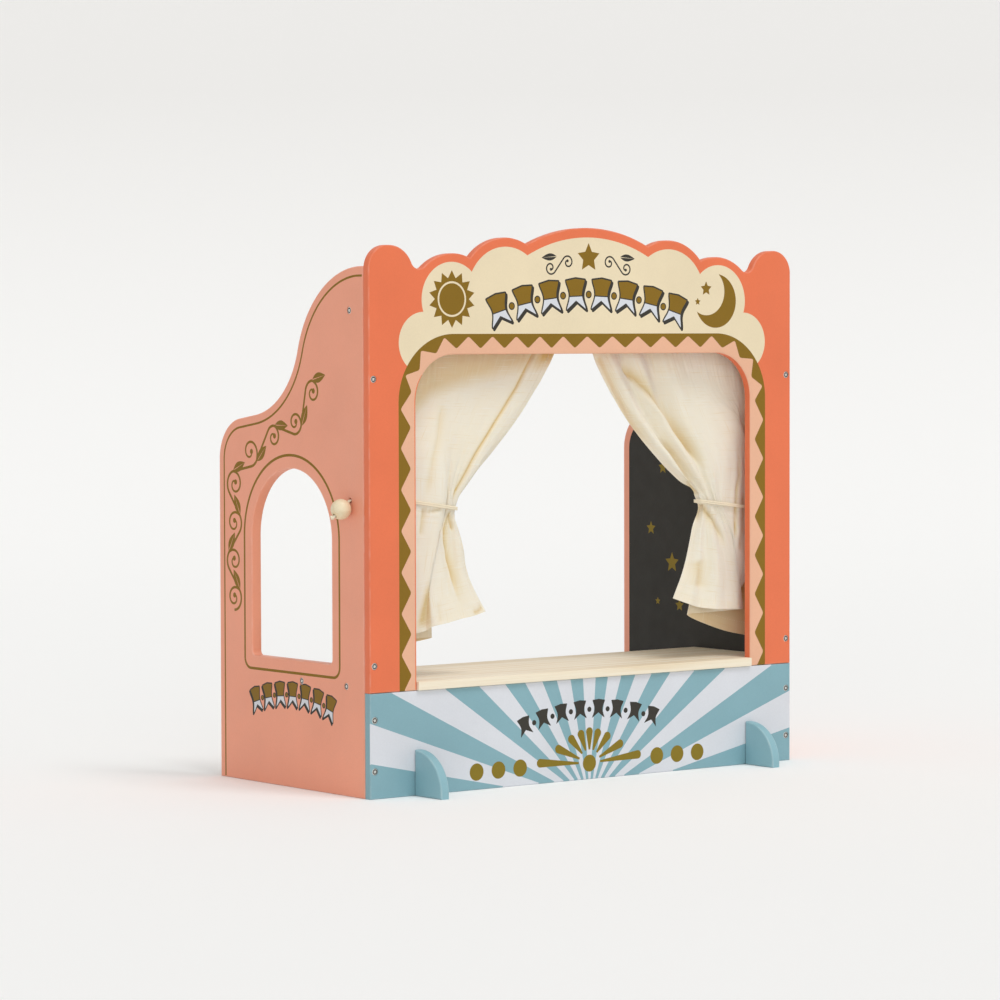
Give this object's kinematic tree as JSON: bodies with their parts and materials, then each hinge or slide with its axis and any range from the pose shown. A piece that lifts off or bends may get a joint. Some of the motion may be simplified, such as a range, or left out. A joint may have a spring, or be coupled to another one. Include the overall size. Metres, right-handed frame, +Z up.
{
  "type": "puppet theater stand",
  "caption": "Tabletop wooden puppet theater for children: scalloped arch front, stepped side boards with a ticket window, stage shelf and tied-back curtains.",
  "frame": {"origin": "bottom centre of the whole object's bounding box, on the table that it stands on", "axes": "+Z up, +Y from the audience's side to the open back, +X to the audience's right"},
  "size_m": [0.6188, 0.317, 0.5807],
  "materials": {
    "coral_paint": "satin paint on a smooth wood board",
    "pink_paint": "satin paint on a smooth wood board",
    "teal_paint": "satin paint on a smooth wood board",
    "pale_wood": "natural pale wood, matt clear lacquer",
    "linen_cloth": "plain-woven natural linen-look cotton",
    "cotton_cord": "twisted cotton cord",
    "zinc_steel": "zinc-plated countersunk screws"
  },
  "bodies": {
    "carcass": {"front_arch_board": "coral_paint", "front_lower_board": "teal_paint", "stage_shelf": "pale_wood", "curtain_rod": "pale_wood", "left_side_board": "pink_paint", "right_side_board": "pink_paint", "left_foot": "teal_paint", "right_foot": "teal_paint", "left_front_screw_1": "zinc_steel", "left_front_screw_2": "zinc_steel", "left_front_screw_3": "zinc_steel", "left_front_screw_4": "zinc_steel", "left_shelf_screw_1": "zinc_steel", "left_shelf_screw_2": "zinc_steel", "left_rod_screw_1": "zinc_steel", "left_foot_screw_1": "zinc_steel", "left_foot_screw_2": "zinc_steel", "right_front_screw_1": "zinc_steel", "right_front_screw_2": "zinc_steel", "right_front_screw_3": "zinc_steel", "right_front_screw_4": "zinc_steel", "right_shelf_screw_1": "zinc_steel", "right_shelf_screw_2": "zinc_steel", "right_rod_screw_1": "zinc_steel", "right_foot_screw_1": "zinc_steel", "right_foot_screw_2": "zinc_steel"},
    "left_drape": {"left_curtain": "linen_cloth", "left_tie_cord": "cotton_cord"},
    "left_pull": {"left_pull_cord": "cotton_cord", "left_pull_bead": "pale_wood"},
    "right_drape": {"right_curtain": "linen_cloth", "right_tie_cord": "cotton_cord"},
    "right_pull": {"right_pull_cord": "cotton_cord", "right_pull_bead": "pale_wood"}
  },
  "joints": [
    {"name": "left_drape_slide", "type": "slide", "parent": "carcass", "child": "left_drape", "axis": [1, 0, 0], "range_m": [0, 0.014]},
    {"name": "left_pull_slide", "type": "slide", "parent": "carcass", "child": "left_pull", "axis": [-1, 0, 0], "range_m": [0, 0.02]},
    {"name": "right_drape_slide", "type": "slide", "parent": "carcass", "child": "right_drape", "axis": [-1, 0, 0], "range_m": [0, 0.014]},
    {"name": "right_pull_slide", "type": "slide", "parent": "carcass", "child": "right_pull", "axis": [1, 0, 0], "range_m": [0, 0.02]}
  ]
}
